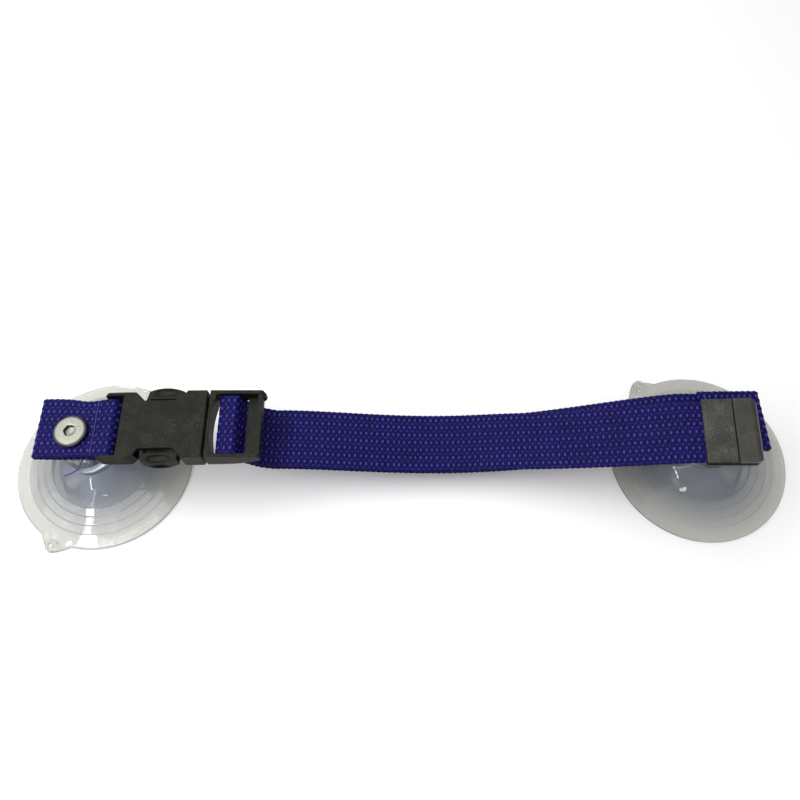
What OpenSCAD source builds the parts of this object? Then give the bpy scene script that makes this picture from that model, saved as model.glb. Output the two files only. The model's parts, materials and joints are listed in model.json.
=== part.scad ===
// Adjustable webbing strap held by two suction cups, with a side-release buckle.
// Millimetres. The strap runs along X and the cups stand on Z = 0. The origin is on
// that surface, midway between the axes of the two cups.

/* [Layout] */
// Distance between the axes of the two suction cups
cup_spacing = 260.4; // [240:0.1:340]
// Distance of the strap's centre line from the cups' axes, along Y
strap_y = 2.4; // [-3:0.1:3]
// Distance from the left cup's axis to the buckle's mouth
mouth_reach = 53; // [50:0.5:64]
// How far the strap sags between the adjuster and the right cup
strap_sag = 14.3; // [0:0.1:16]

/* [Suction cups] */
// Outer diameter of the sealing lip
cup_d = 76.2; // [60:0.1:100]
// Height of the neck's top above the surface
cup_h = 33; // [28:0.5:42]
// Width of the flat sealing lip
lip_w = 5.8; // [3:0.1:9]
// Thickness of the lip at its edge
lip_t = 1.3; // [0.8:0.1:2.5]
// Height of the bell's shoulder above the surface
bell_h = 4.8; // [4:0.1:8]
// Radius of the bell's shoulder
shoulder_r = 21.7; // [18:0.1:26]
// Wall of the bell
bell_wall = 2.4; // [1.8:0.1:3]
// Height of the neck's foot, where the dome ends
foot_z = 13; // [11:0.5:17]
// Height of each terrace moulded round the bell
terrace_h = 0.6; // [0.3:0.1:0.9]
// Diameter of the neck
neck_d = 20; // [16:0.5:24]
// How far the pull tab stands out of the lip
pull_reach = 7; // [4:0.5:12]
// Direction of the left cup's pull tab, counted from +X
left_pull_angle = -114; // [-180:1:180]
// Direction of the right cup's pull tab, counted from +X
right_pull_angle = 121; // [-180:1:180]

/* [Fasteners] */
// Thread of the connector screws
thread_d = 6; // [5:0.5:8]
// Length of the screw's shank
shank_l = 16; // [12:0.5:20]
// Diameter of the screw's flat head
head_d = 13.1; // [11:0.1:17]
// Thickness of the screw's head
head_t = 2.2; // [1.6:0.1:3]
// Width across the flats of the hexagonal socket in the head
hex_af = 4; // [3:0.5:5]
// Diameter of the threaded insert in the neck
insert_d = 10; // [9:0.5:13]
// Length of the threaded insert
insert_l = 15; // [10:0.5:17]

/* [Webbing] */
// Width of the webbing
web_w = 25; // [20:0.5:30]
// Thickness of the webbing
web_t = 1.7; // [1.2:0.1:2]
// How far the folded ends reach past the screws
fold_reach = 14.7; // [10:0.1:18]
// Angle in plan between the tail's free end and the ply below it
tail_skew = 5.1; // [0:0.1:6]
// Slope of the tail's free end, which rises over the right screw
tail_slope = 13; // [8:0.5:16]

/* [Buckle] */
// Length of the socket, from its mouth to the tips of its horns
socket_l = 41.8; // [39:0.1:46]
// Thickness of the socket at its mouth
socket_t = 8.9; // [8:0.1:11]
// Side wall of the buckle beside the webbing
rail_t = 1.55; // [1.2:0.05:2.5]
// Length of the adjuster frame outside the mouth
adjuster_l = 22; // [21.5:0.1:26]
// Height inside the socket
cavity_h = 5.4; // [4.6:0.1:5.8]
// How far the finger pads stand proud of the webbing's edges
pad_proud = 3.9; // [2.6:0.1:4.2]

/* [End clip] */
// Length of the clip along the tail
clip_l = 20.3; // [20:0.1:30]
// How much wider the clip is than the webbing
clip_extra = 1.6; // [0.4:0.1:3]
// Thickness of the clip's leaves
leaf_t = 1.2; // [0.8:0.05:1.6]
// Share of the clip's length that the hinged lid covers
lid_share = 0.53; // [0.4:0.01:0.6]

/* [Clearances] */
// Gap between flat faces that rest on each other
seat_gap = 0.05; // [0.02:0.01:0.1]
// Gap between parts that move past each other
run_gap = 0.3; // [0.2:0.05:0.5]
// Gap between the two plies of a fold
ply_gap = 0.1; // [0.05:0.05:0.2]

/* [Hidden] */
$fn = 96;

left_x = -cup_spacing / 2;
right_x = cup_spacing / 2;
cup_r = cup_d / 2;
neck_r = neck_d / 2;
half_w = web_w / 2;

// Heights of the two plies over a cup's neck, and of the screw's head on them
low_ply_z = cup_h + seat_gap + web_t / 2;
high_ply_z = low_ply_z + web_t + ply_gap;
head_z = high_ply_z + web_t / 2 + seat_gap;
head_top_z = head_z + head_t;

// Bell profile: three terraces between the lip and the shoulder
bell_r = cup_r - lip_w;
bell_z = lip_t + 0.3;
terraces = 3;
terrace_draft = 0.3;
foot_w = 1.4;
neck_round = 0.8;

// Buckle: heights in the frame's middle plane, lengths counted from the mouth
mouth_x = left_x + mouth_reach;
buckle_z = cup_h + 1.6;
body_half = half_w + run_gap + rail_t;
cavity_half = half_w - run_gap;
collar_l = 8.6;
window_l = 20.4;
window_slant = 3.9;
window_inset = 2.3;
plate_end = socket_l - 8;
bar_d = 2.4;
bar_reach = socket_l - 3;
wrap_gap = 0.1;
bar_z = high_ply_z - web_t / 2 - wrap_gap - bar_d / 2;

// Adjuster frame: the webbing passes under both bars and over the centre bar
flange_gap = 0.8;
flange_depth = 0.8;
flange_hollow = 1.9;
centre_bar = [6.4, 11.3];
centre_bar_t = 2.7;
bar_ease = 0.5;
end_bar_w = 2;
ramp_l = 4.6;
ramp_t = 1.3;
exit_reach = adjuster_l + 3.2;
exit_x = mouth_x + exit_reach;
exit_drop = 13.1;
// Where the tail veers, its outer edge lies over a higher part of the lower ply
veer_rise = 0.3585;
stack_z = web_t + ply_gap + veer_rise * half_w * tan(tail_skew);
exit_low_z = cup_h - exit_drop;
exit_high_z = exit_low_z + stack_z;
frame_low_z = buckle_z - 3.8;
frame_high_z = buckle_z + 4.3;
frame_end_z = buckle_z - 0.2;
end_bar_t = 3.6;
centre_bar_z = buckle_z - 0.9;

// Latch arms: each turns about the round root that its flexible stem bends at
arm_root = [-1.2, half_w - 4.4];
arm_root_r = 1.3;
arm_h = cavity_h - 2 * run_gap;
arm_l = 25.3;
hook_x = collar_l + 1.4;
hook_proud = 1.9;
tongue_half = 1.9;
tongue_l = 23;

// Strap: both plies run from the adjuster's exit to the right cup
fold_start_x = right_x - 18.2;
ply_end_x = fold_start_x + 8;
span_l = fold_start_x - exit_x;
sag_power = 1.4;
strap_steps = 40;
end_gap = 0.4;

// Free end of the tail: the clip's lower leaf clears the right screw's head
clip_x = right_x - 12.4;
clip_z = head_top_z - 1.2;
clip_t = 2 * leaf_t + web_t + 2 * seat_gap + 0.1;
clip_w = web_w + clip_extra;
lift_z = leaf_t + seat_gap + web_t / 2;
tail_end_z = clip_z + lift_z / cos(tail_slope);
veer_x = right_x - 100;
climb_l = 35;

stitch = [2.4, 0.8, 0.3];
thread_w = 0.6;

// Points of an arc about (cx, cz), from angle a to angle b
function arc(cx, cz, r, a, b, n = 8) =
    [for (i = [0 : n]) let (t = a + (b - a) * i / n) [cx + r * cos(t), cz + r * sin(t)]];

function unit(v) = v / norm(v);
function left_of(v) = [-v[1], v[0]];

// Normal of an open path at point i, and of a closed one
function normal(p, i) =
    left_of(unit(p[min(i + 1, len(p) - 1)] - p[max(i - 1, 0)]));
function loop_normal(p, i) =
    left_of(unit(p[(i + 1) % len(p)] - p[(i + len(p) - 1) % len(p)]));

// Outline of a ply of webbing whose middle follows an open path
function ply_outline(p, t = web_t) = concat(
    [for (i = [0 : len(p) - 1]) p[i] + normal(p, i) * t / 2],
    [for (i = [len(p) - 1 : -1 : 0]) p[i] - normal(p, i) * t / 2]
);

// One side of a closed ply
function loop_outline(p, side) =
    [for (i = [0 : len(p) - 1]) p[i] + loop_normal(p, i) * side * web_t / 2];

// Catmull-Rom curve through hand-placed points
function curve_point(a, b, c, d, t) =
    0.5 * (2 * b + (c - a) * t + (2 * a - 5 * b + 4 * c - d) * t * t
        + (3 * b - a - 3 * c + d) * t * t * t);
function curve(p, n = 6) = concat(
    [for (i = [0 : len(p) - 2]) for (k = [0 : n - 1])
        curve_point(p[max(i - 1, 0)], p[i], p[i + 1], p[min(i + 2, len(p) - 1)], k / n)],
    [p[len(p) - 1]]
);

// Height of the lower ply's middle along the span
function main_z(x) =
    let (u = max(0, min(1, (x - exit_x) / span_l)))
    exit_low_z + (low_ply_z - exit_low_z) * u
        - strap_sag * pow(max(0, sin(180 * u)), sag_power);

// Height of the tail's middle: on the lower ply, then up over the right screw's head
function tail_z(x) =
    let (
        over = main_z(x) + stack_z,
        climb = tail_end_z - low_ply_z - stack_z,
        t = max(0, (x - clip_x) / climb_l + 1)
    )
    x > clip_x ? tail_end_z + (x - clip_x) * tan(tail_slope) : over + climb * t * t;

// The tail's middle in plan: on the lower ply's, then off towards the front
function tail_y(x) =
    let (t = max(0, x - veer_x), bend_l = 24)
    strap_y - tan(tail_skew) * (t < bend_l ? t * t / 2 / bend_l : t - bend_l / 2);

// Draws an X-Z outline as a solid of the given width along Y
module across(w) {
    rotate([90, 0, 0]) linear_extrude(w, center = true) children();
}

// Sweeps a closed section, as [side, up] points, along a path in space
function ring(path, i, section) =
    let (
        along = unit(path[min(i + 1, len(path) - 1)] - path[max(i - 1, 0)]),
        side = unit(cross([0, 0, 1], along)),
        up = cross(along, side)
    )
    [for (q = section) path[i] + side * q[0] + up * q[1]];

module sweep(path, section) {
    m = len(section);
    n = len(path) - 1;
    polyhedron(
        points = [for (i = [0 : n]) each ring(path, i, section)],
        faces = concat(
            [[for (k = [0 : m - 1]) k], [for (k = [m - 1 : -1 : 0]) n * m + k]],
            [for (i = [0 : n - 1]) for (k = [0 : m - 1])
                let (a = m * i + k, b = m * i + (k + 1) % m) each [[a, a + m, b], [b, a + m, b + m]]]
        )
    );
}

module at_buckle() {
    translate([mouth_x, strap_y, buckle_z]) children();
}

// The end clip's own frame: its lower leaf's left edge, turned and tilted with the tail
module at_clip() {
    translate([clip_x, tail_y(clip_x), clip_z]) rotate([0, -tail_slope, -tail_skew]) children();
}

// ---- Suction cups ----

function bell_step(i) = [
    bell_r - (bell_r - shoulder_r) * i / terraces,
    bell_z + (bell_h - bell_z) * i / terraces
];

function bell_outside() = concat(
    [[cup_r, 0], [cup_r, lip_t]],
    [for (i = [0 : terraces]) for (k = [0, 1])
        bell_step(i) + [-k * terrace_draft, k * terrace_h]],
    [[(shoulder_r + neck_r) / 2 + 0.8, (bell_h + foot_z) / 2 + 1.2]],
    arc(neck_r + foot_w, foot_z + foot_w, foot_w, 245, 180),
    arc(neck_r - neck_round, cup_h - neck_round, neck_round, 0, 90)
);

function bell_inside() = [
    [0, foot_z - bell_wall], [neck_r - 1, foot_z - bell_wall - 0.8],
    [shoulder_r - bell_wall, bell_h - bell_wall + 0.4], [bell_r + 0.6, 0]
];

module insert_pocket() {
    translate([0, 0, cup_h - insert_l]) cylinder(h = insert_l + 1, d = insert_d);
}

module pull_tab(angle) {
    tip = cup_r + pull_reach - 2.2;
    rotate(angle) difference() {
        translate([0, 0, run_gap]) union() {
            linear_extrude(1.6)
                polygon([[cup_r - 2, -7.5], [cup_r - 0.2, -7], [tip - 1, -2.4],
                    [tip - 1, 2.4], [cup_r - 0.2, 7], [cup_r - 2, 7.5]]);
            translate([tip, 0, 0]) cylinder(h = 2.6, r = 2.5);
        }
        translate([tip, 0, 1.6]) cylinder(h = 2, r = 1.4);
    }
}

module suction_cup(pull_angle) {
    color([0.85, 0.88, 0.92, 0.45]) {
        difference() {
            rotate_extrude() polygon(concat([[0, cup_h]], bell_inside(), bell_outside()));
            insert_pocket();
        }
        pull_tab(pull_angle);
    }
}

module cup_insert() {
    ridge = 0.4;
    r = insert_d / 2 - seat_gap;
    color("silver") translate([0, 0, cup_h - insert_l]) difference() {
        rotate_extrude() polygon([
            [0, 0], [r - ridge, 0], [r, ridge], [r, 4], [r - ridge, 4.5], [r - ridge, 6],
            [r, 6.5], [r, insert_l - 2], [r - ridge, insert_l - 1.6],
            [r - ridge, insert_l - seat_gap], [0, insert_l - seat_gap]
        ]);
        translate([0, 0, -1]) cylinder(h = insert_l + 2, d = thread_d + 2 * seat_gap);
    }
}

module screw() {
    bevel = 0.5;
    color("gainsboro") difference() {
        union() {
            translate([0, 0, head_z]) rotate_extrude() polygon([
                [0, 0], [head_d / 2 - bevel, 0], [head_d / 2, bevel],
                [head_d / 2, head_t - bevel], [head_d / 2 - bevel, head_t], [0, head_t]
            ]);
            translate([0, 0, head_z - shank_l]) cylinder(h = shank_l + 0.1, d = thread_d);
        }
        translate([0, 0, head_top_z - 1.8])
            cylinder(h = 2, r = hex_af / 2 / cos(30), $fn = 6);
    }
}

module left_suction_cup() { translate([left_x, 0, 0]) suction_cup(left_pull_angle); }
module left_cup_insert() { translate([left_x, 0, 0]) cup_insert(); }
module left_screw() { translate([left_x, 0, 0]) screw(); }
module right_suction_cup() { translate([right_x, 0, 0]) suction_cup(right_pull_angle); }
module right_cup_insert() { translate([right_x, 0, 0]) cup_insert(); }
module right_screw() { translate([right_x, 0, 0]) screw(); }

// ---- Folded ends of the webbing ----

module screw_hole(x) {
    translate([x, 0, cup_h - 1]) cylinder(h = 8, d = thread_d + 2 * run_gap);
}

// A closed loop: over the cup's neck as two plies, and round the socket's bar
function tab_path() =
    let (
        fold_r = (high_ply_z - low_ply_z) / 2,
        wrap_r = bar_d / 2 + wrap_gap + web_t / 2,
        edge = [left_x + neck_r + 0.4, low_ply_z],
        to_edge = edge - [mouth_x - bar_reach, bar_z],
        tangent = atan2(to_edge[1], to_edge[0]) + acos(wrap_r / norm(to_edge)) - 360
    )
    concat(
        arc(left_x - fold_reach + fold_r + web_t / 2, low_ply_z + fold_r, fold_r, 90, 270),
        [edge],
        arc(mouth_x - bar_reach, bar_z, wrap_r, tangent, 90, 16)
    );

module left_tab_webbing() {
    color("mediumblue") difference() {
        translate([0, strap_y, 0]) across(web_w) difference() {
            polygon(loop_outline(tab_path(), -1));
            polygon(loop_outline(tab_path(), 1));
        }
        screw_hole(left_x);
    }
}

// The lower ply turns back on itself past the screw and ends short of the span
module right_end_webbing() {
    fold_r = (high_ply_z - low_ply_z) / 2;
    path = concat(
        [[fold_start_x, low_ply_z]],
        arc(right_x + fold_reach - fold_r - web_t / 2, low_ply_z + fold_r, fold_r, -90, 90),
        [[ply_end_x, high_ply_z]]
    );
    color("mediumblue") difference() {
        translate([0, strap_y, 0]) across(web_w) polygon(ply_outline(path));
        screw_hole(right_x);
    }
}

// A row of stitches across the webbing, on top of the upper ply
module stitch_row(x) {
    count = floor((web_w - 3) / (stitch[0] + 0.6));
    pitch = (web_w - 3) / count;
    color("cornflowerblue") for (i = [0 : count - 1])
        translate([x - stitch[1] / 2, strap_y - (web_w - 3) / 2 + (i + 0.5) * pitch - stitch[0] / 2,
            high_ply_z + web_t / 2])
            cube([stitch[1], stitch[0], stitch[2]]);
}

// A loose end of the seam's thread: out from under the near edge, then down
module left_loose_thread() {
    r = thread_w / 2;
    start = [left_x + 4.8, strap_y - half_w + 0.9, cup_h + seat_gap - r];
    steps = [[0, 0, 0], [-0.4, -2.2, -0.2], [-1.6, -3.9, -1.1], [-3.3, -4.9, -2.2],
        [-5.5, -5.6, -3.2], [-8, -6.2, -4]];
    color("navy") sweep([for (d = steps) start + d],
        [for (a = [0 : 45 : 315]) [r * cos(a), r * sin(a)]]);
}

module left_tab_stitching() { stitch_row(left_x + head_d / 2 + 2.2); }
module right_end_stitching() { stitch_row(right_x - head_d / 2 - 1.2); }

// ---- Buckle ----

// Half of the socket's plan, for one side of its centre line
function socket_half() = [
    [0, 0], [0, body_half - 0.6], [-0.6, body_half], [-collar_l + 0.6, body_half],
    [-collar_l, body_half - 0.5], [-collar_l - 1, cavity_half + 0.1],
    [-collar_l - 2.1, cavity_half - 1.1], [-collar_l - window_slant, half_w - window_inset],
    [-collar_l - window_l + window_slant, half_w - window_inset],
    [-collar_l - window_l, body_half - 0.4],
    [-socket_l + 1.6, body_half - 0.2], [-socket_l, half_w + run_gap + 0.6],
    [-socket_l, half_w + run_gap], [-plate_end, half_w + run_gap], [-plate_end, 0]
];

// Side profile: thickest at the collar, thinner towards the horns
function socket_side() =
    let (t = socket_t / 2) [
        [0, -t + 0.5], [0, t - 0.5], [-0.5, t], [-collar_l, t - 0.05],
        [-plate_end, t - 0.6], [-socket_l + 1, t - 1.3], [-socket_l, t - 2.2],
        [-socket_l, -t + 2.2], [-socket_l + 1, -t + 1.3], [-plate_end, -t + 0.6],
        [-collar_l, -t + 0.05], [-0.5, -t]
    ];

module both_sides() {
    children();
    mirror([0, 1, 0]) children();
}

module buckle_socket() {
    color([0.16, 0.16, 0.15]) at_buckle() {
        difference() {
            intersection() {
                translate([0, 0, -socket_t]) linear_extrude(2 * socket_t)
                    both_sides() polygon(socket_half());
                across(4 * web_w) polygon(socket_side());
            }
            translate([-plate_end + 3, -cavity_half, -cavity_h / 2])
                cube([plate_end, 2 * cavity_half, cavity_h]);
        }
        translate([-bar_reach, 0, bar_z - buckle_z])
            rotate([90, 0, 0]) cylinder(h = web_w + 2 * run_gap + 0.4, d = bar_d, center = true);
    }
}

// The adjuster's flange has a hollow edge towards the webbing
module flange() {
    reach = flange_gap + flange_depth + flange_hollow;
    hollow_r = (pow(half_w, 2) + pow(flange_hollow, 2)) / (2 * flange_hollow);
    difference() {
        translate([flange_gap, -body_half + 0.4, frame_low_z - buckle_z])
            cube([reach - flange_gap, 2 * body_half - 0.8, frame_high_z - frame_low_z]);
        translate([flange_gap + flange_depth + hollow_r, 0, -20]) cylinder(h = 40, r = hollow_r);
    }
}

// Section of a bar whose four corners are eased
function eased_bar(x0, x1, z0, z1, e = bar_ease) = [
    [x0 + e, z0], [x1 - e, z0], [x1, z0 + e], [x1, z1 - e],
    [x1 - e, z1], [x0 + e, z1], [x0, z1 - e], [x0, z0 + e]
];

module adjuster_rail() {
    low = frame_low_z - buckle_z;
    high = frame_high_z - buckle_z;
    translate([0, half_w + run_gap + rail_t / 2, 0]) across(rail_t) polygon([
        [flange_gap, low + 0.3], [flange_gap + 0.4, low], [adjuster_l / 2, low + 0.3],
        [adjuster_l - 5, low + 1.6], [adjuster_l, frame_end_z - buckle_z],
        [adjuster_l, high - 1.2], [adjuster_l - 0.8, high - 0.5], [flange_gap + 0.4, high],
        [flange_gap, high - 0.3]
    ]);
}

module buckle_plug() {
    between = web_w + 2 * run_gap + 0.4;
    block_l = 3.4;
    color([0.16, 0.16, 0.15]) at_buckle() {
        flange();
        both_sides() adjuster_rail();
        across(between) polygon(eased_bar(centre_bar[0], centre_bar[1],
            centre_bar_z - buckle_z, centre_bar_z - buckle_z + centre_bar_t));
        translate([adjuster_l - end_bar_w, -between / 2, frame_end_z - buckle_z])
            cube([end_bar_w, between, end_bar_t]);
        difference() {
            translate([-block_l, -cavity_half + run_gap, -arm_h / 2])
                cube([block_l + flange_gap + 0.2, 2 * (cavity_half - run_gap), arm_h]);
            both_sides() {
                translate([arm_root[0], arm_root[1], -10])
                    cylinder(h = 20, r = arm_root_r + run_gap);
                translate([-block_l - 1, arm_root[1] - 2.8, -10]) cube([block_l, 6.6, 20]);
            }
        }
        translate([-tongue_l, -tongue_half, -1.4]) cube([tongue_l - block_l + 1, 2 * tongue_half, 2.8]);
        // A sloped grip inside the end bar, over the two plies that leave
        across(between) polygon([
            [adjuster_l - end_bar_w - ramp_l, frame_end_z - buckle_z - 2],
            [adjuster_l - 0.6, frame_end_z - buckle_z - 0.6],
            [adjuster_l - 0.6, frame_end_z - buckle_z + 0.4],
            [adjuster_l - end_bar_w - ramp_l, frame_end_z - buckle_z - 2 + ramp_t]
        ]);
        translate([adjuster_l - 0.5, half_w + 0.2, frame_end_z - buckle_z])
            cylinder(h = 2.4, r = 1.6);
    }
}

// Plan of a latch arm: stem, hook behind the collar, and a bowed finger pad
function arm_plan() =
    let (pad_r = 17, pad_x = -17.4, peak = half_w + pad_proud)
    concat(
        [[arm_root[0], arm_root[1] + 1.2], [-hook_x + 1.2, half_w - 1.6],
            [-hook_x + 0.1, half_w - 1.2], [-hook_x, half_w + hook_proud]],
        arc(pad_x, peak - pad_r, pad_r, 64, 114, 10),
        [[-arm_l + 0.4, half_w - 0.6], [-arm_l, half_w - 1.8], [-arm_l + 0.6, half_w - 3.4],
            [-arm_l + 3, half_w - 4], [-hook_x - 3, half_w - 3.8], [-hook_x + 2, half_w - 4.2],
            [arm_root[0], arm_root[1] - 1.2]]
    );

module latch_arm() {
    grip_r = 14;
    color([0.19, 0.19, 0.18]) difference() {
        union() {
            translate([0, 0, -arm_h / 2]) linear_extrude(arm_h) polygon(arm_plan());
            translate([arm_root[0], arm_root[1], -arm_h / 2]) cylinder(h = arm_h, r = arm_root_r);
        }
        translate([-17.2, half_w + pad_proud + grip_r - 1, 0])
            cylinder(h = arm_h - 1.8, r = grip_r, center = true);
        // A channel in each face, between the pad and the edge of the socket's plate
        for (low = [arm_h / 2 - 1.1, -arm_h / 2 - 1])
            translate([-arm_l + 2, half_w - window_inset - 0.6, low])
                cube([arm_l - hook_x - 5.2, 1.9, 2.1]);
    }
}

module latch_arm_far() { at_buckle() latch_arm(); }
module latch_arm_near() { at_buckle() mirror([0, 1, 0]) latch_arm(); }

// ---- Strap ----

// Hairpin of the strap: up through the frame, over the centre bar and down again
function hairpin() =
    let (
        bar_l = mouth_x + centre_bar[0],
        bar_r = mouth_x + centre_bar[1],
        off = wrap_gap + web_t / 2,
        low = centre_bar_z - off,
        high = centre_bar_z + centre_bar_t + off,
        turn_r = (high - low) / 2
    )
    concat(
        curve([
            [exit_x, exit_low_z], [exit_x - 5, exit_low_z + 2], [exit_x - 9, exit_low_z + 5.6],
            [exit_x - 13, exit_low_z + 9.6], [bar_l + 1.8, low]
        ], 5),
        arc(bar_l + 0.9, (low + high) / 2, turn_r, 265, 95, 12),
        arc(bar_r - bar_ease, high - turn_r + 0.75, turn_r - 0.75, 90, -10, 7),
        curve([
            [exit_x - 10.2, exit_low_z + 10.6], [exit_x - 7.2, exit_low_z + 6.5],
            [exit_x - 4, exit_high_z + 2], [exit_x, exit_high_z]
        ], 5)
    );

module strap_bar_wrap() {
    color("mediumblue") translate([0, strap_y, 0]) across(web_w) polygon(ply_outline(hairpin()));
}

module strap_main() {
    path = [for (i = [0 : strap_steps])
        let (x = exit_x + end_gap + (span_l - end_gap) * i / strap_steps) [x, main_z(x)]];
    color("mediumblue") translate([0, strap_y, 0]) across(web_w) polygon(ply_outline(path));
}

tail_seat = clip_l - leaf_t - 2;
tail_l = clip_x + tail_seat * cos(tail_slope) - exit_x;

function tail_point(i) =
    let (x = exit_x + end_gap + (tail_l - end_gap) * i / strap_steps) [x, tail_y(x), tail_z(x)];

module strap_tail() {
    t = web_t / 2;
    color("mediumblue") sweep([for (i = [0 : strap_steps]) tail_point(i)],
        [[-half_w, -t], [half_w, -t], [half_w, t], [-half_w, t]]);
}

// ---- End clip on the tail ----

hinge_s = clip_l * lid_share;
hinge_z = clip_t - leaf_t / 2;

module end_clip_base() {
    nose = 2.6;
    knuckle = leaf_t / 2 + 0.15;
    corner = 3.2;
    y = clip_w / 2;
    color([0.22, 0.22, 0.21]) at_clip() intersection() {
        across(clip_w) polygon(concat(
            [[0.3, 0], [clip_l - 0.8, 0]],
            arc(clip_l - nose, clip_t - nose, nose, -30, 90),
            [[hinge_s + knuckle, clip_t], [hinge_s + knuckle, clip_t - leaf_t],
                [clip_l - leaf_t - 0.9, clip_t - leaf_t], [clip_l - leaf_t - 0.9, leaf_t],
                [0, leaf_t], [0, 0.3]]
        ));
        translate([0, 0, -1]) linear_extrude(clip_t + 2) polygon(concat(
            [[-1, -y], [clip_l - corner, -y]],
            arc(clip_l - corner, -y + corner, corner, -80, 0, 8),
            arc(clip_l - corner, y - corner, corner, 0, 80, 8),
            [[clip_l - corner, y], [-1, y]]
        ));
    }
}

module end_clip_lid() {
    color([0.22, 0.22, 0.21]) at_clip() across(clip_w) union() {
        translate([0, hinge_z - leaf_t / 2]) square([hinge_s, leaf_t]);
        translate([hinge_s, hinge_z]) circle(d = leaf_t);
    }
}

left_suction_cup();
left_cup_insert();
left_screw();
left_tab_webbing();
left_tab_stitching();
left_loose_thread();
buckle_socket();
buckle_plug();
latch_arm_near();
latch_arm_far();
strap_bar_wrap();
strap_main();
strap_tail();
end_clip_base();
end_clip_lid();
right_end_webbing();
right_end_stitching();
right_suction_cup();
right_cup_insert();
right_screw();
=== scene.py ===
"""Adjustable webbing strap with a side-release buckle, an end clip and two clear suction cups.

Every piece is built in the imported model's own frame, in metres. Sizes inside the classes are in
millimetres, as a maker would write them, and MM turns them to metres when a mesh is made.
"""

import json
import logging
import math
from dataclasses import dataclass
from enum import Enum
from typing import Any, Callable, Iterable, Optional, Sequence

import bmesh
import bpy
import numpy as np
from mathutils import Matrix, Vector

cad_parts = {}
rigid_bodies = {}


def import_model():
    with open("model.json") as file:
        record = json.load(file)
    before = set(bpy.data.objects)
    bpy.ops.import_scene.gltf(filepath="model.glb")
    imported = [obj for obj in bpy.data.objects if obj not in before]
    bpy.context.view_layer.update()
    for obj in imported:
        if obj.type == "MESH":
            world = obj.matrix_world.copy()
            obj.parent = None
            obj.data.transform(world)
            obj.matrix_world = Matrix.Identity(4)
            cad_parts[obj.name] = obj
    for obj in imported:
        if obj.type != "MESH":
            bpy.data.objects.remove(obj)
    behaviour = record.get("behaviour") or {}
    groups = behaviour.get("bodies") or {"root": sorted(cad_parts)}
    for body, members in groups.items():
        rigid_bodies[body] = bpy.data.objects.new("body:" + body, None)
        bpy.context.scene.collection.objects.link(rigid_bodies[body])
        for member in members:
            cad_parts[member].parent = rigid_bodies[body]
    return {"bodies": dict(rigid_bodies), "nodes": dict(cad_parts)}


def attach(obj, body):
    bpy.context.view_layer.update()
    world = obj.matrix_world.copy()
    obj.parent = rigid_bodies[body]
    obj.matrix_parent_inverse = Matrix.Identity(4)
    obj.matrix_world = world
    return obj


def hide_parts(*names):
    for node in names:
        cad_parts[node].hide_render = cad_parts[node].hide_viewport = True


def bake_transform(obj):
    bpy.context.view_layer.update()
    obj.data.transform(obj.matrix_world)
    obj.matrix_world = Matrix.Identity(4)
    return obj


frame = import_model()

Socket = bpy.types.NodeSocket
Piece = bpy.types.Object
Point = tuple[float, float]
Spot = tuple[float, float, float]

LOG = logging.getLogger("strap")
MM = 0.001

# Layout shared by the pieces, in millimetres
LEFT_X, RIGHT_X = -130.2, 130.2
STRAP_Y = 2.4
CUP_H = 33.0
WEB_W, WEB_T = 25.0, 1.7
PLY_GAP, SEAT_GAP = 0.1, 0.05
LOW_PLY_Z = CUP_H + SEAT_GAP + WEB_T / 2
HIGH_PLY_Z = LOW_PLY_Z + WEB_T + PLY_GAP
HEAD_Z = HIGH_PLY_Z + WEB_T / 2 + SEAT_GAP
CLIP_X, CLIP_FLOOR_Z, CLIP_SLOPE = 117.8, 37.6, math.radians(13)
# The strap hangs from the plug to the right end's fold, and the tail lies on it and drifts to the front
PLUG_X, PLUG_Z, FOLD_X = -52.0, 19.9, 112.0
RUN_RISE, RUN_SAG = 14.0, 14.3
STACK_Z, CLIMB_L, TAIL_LIFT, TAIL_SEAT = 2.2, 35.0, 2.1, 17.1
VEER_X, VEER_L, TAIL_SKEW = 30.2, 24.0, math.radians(5.1)
# Stitch rows
STITCH_PITCH, STITCH_START, LEFT_SEAM_X, RIGHT_SEAM_X = 3.3, -9.9, -121.45, 122.45


class Slot(Enum):
    """The record's material slots."""

    CLEAR_PVC = "clear_pvc"
    ZINC = "zinc_steel"
    INSERT = "metal_insert"
    WEBBING = "blue_webbing"
    THREAD = "blue_thread"
    BUCKLE = "buckle_plastic"
    CLIP = "clip_plastic"


def srgb(code: str) -> tuple[float, float, float, float]:
    """Turns an sRGB hex colour to linear RGBA.

    Args:
        code: The colour as "#rrggbb".

    Returns:
        Linear red, green, blue and an alpha of 1.
    """
    values = [int(code[i : i + 2], 16) / 255 for i in (1, 3, 5)]
    linear = [v / 12.92 if v <= 0.04045 else ((v + 0.055) / 1.055) ** 2.4 for v in values]
    return (linear[0], linear[1], linear[2], 1.0)


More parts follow.
